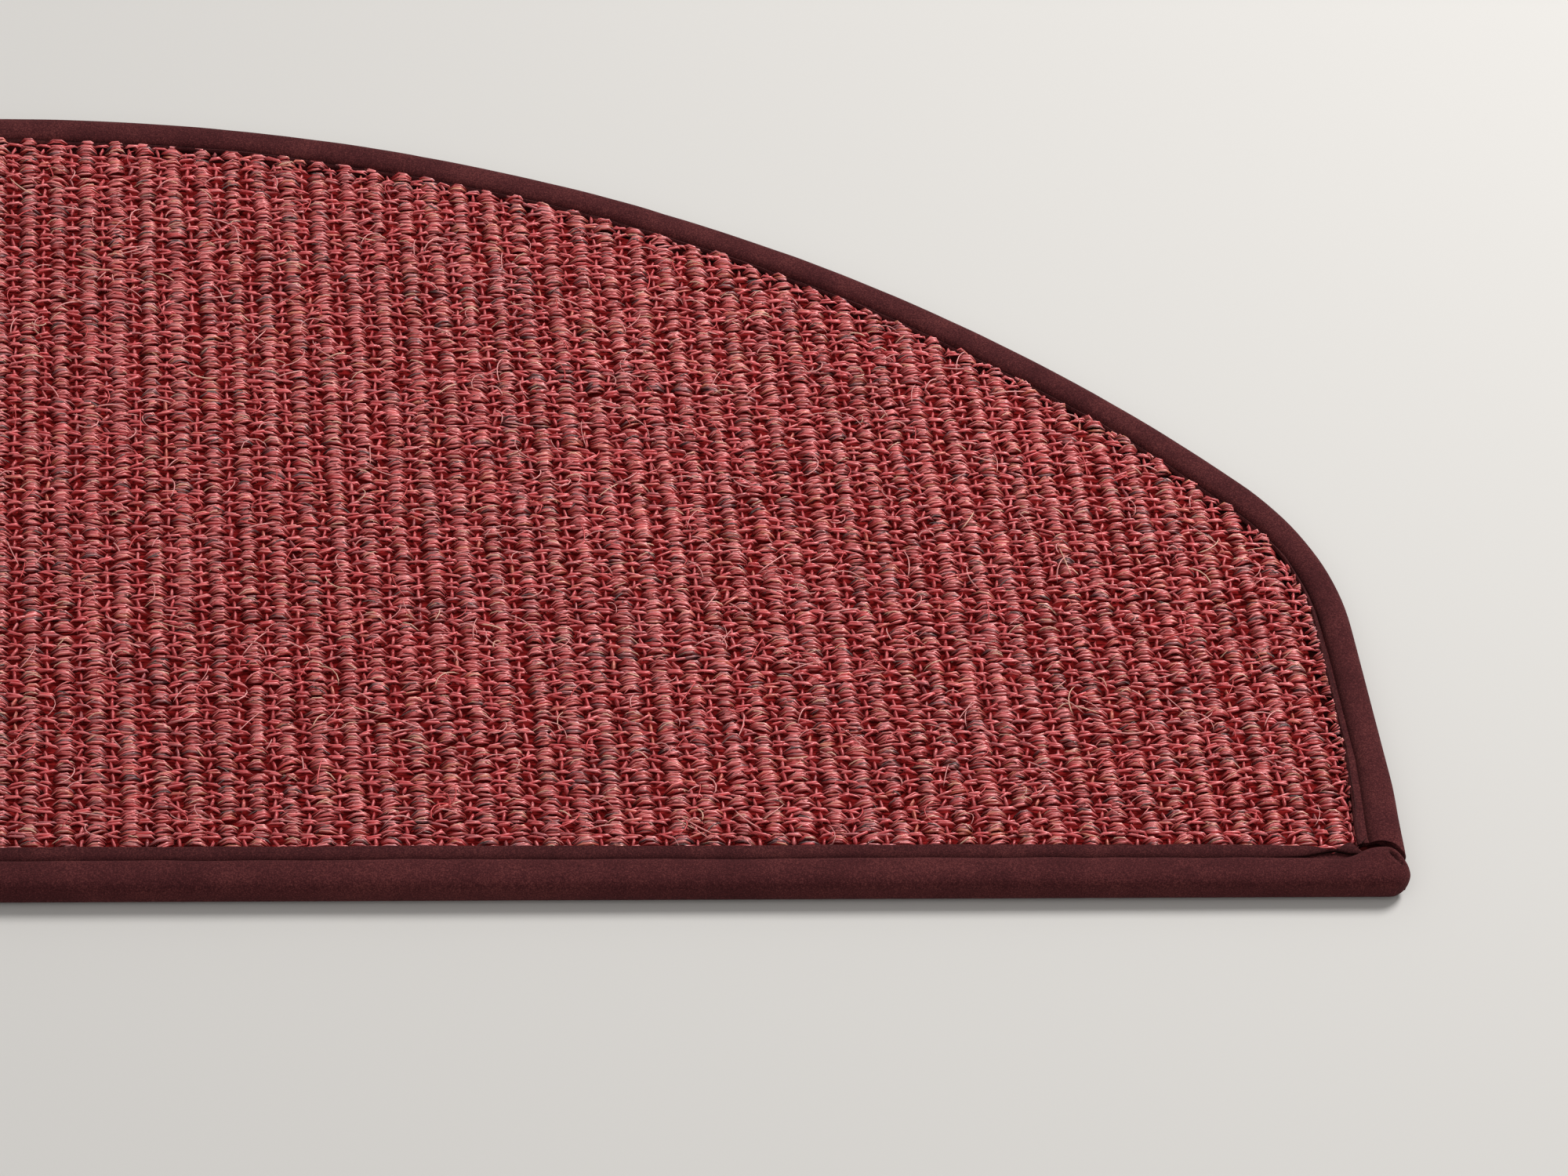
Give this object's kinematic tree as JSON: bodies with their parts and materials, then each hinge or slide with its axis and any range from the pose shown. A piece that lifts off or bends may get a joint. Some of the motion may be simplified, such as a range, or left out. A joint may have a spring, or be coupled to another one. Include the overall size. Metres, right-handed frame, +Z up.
{
  "type": "sisal stair tread mat",
  "caption": "Half-round woven sisal mat with a soft bound edge, laid flat on a stair tread for grip and wear.",
  "frame": {"origin": "centre of the bounding box, on the floor", "axes": "+X along the straight front edge, +Y from the front edge to the round back, +Z up out of the weave"},
  "size_m": [0.65, 0.28, 0.0078],
  "materials": {
    "woven_sisal": "coarse bouclé weave of dyed sisal, salmon red with teal and straw fibres",
    "binding_tape": "matt suede-like textile tape, dark burgundy"
  },
  "bodies": {
    "root": {"sisal_panel": "woven_sisal", "binding_curved": "binding_tape", "binding_front": "binding_tape"}
  },
  "joints": []
}
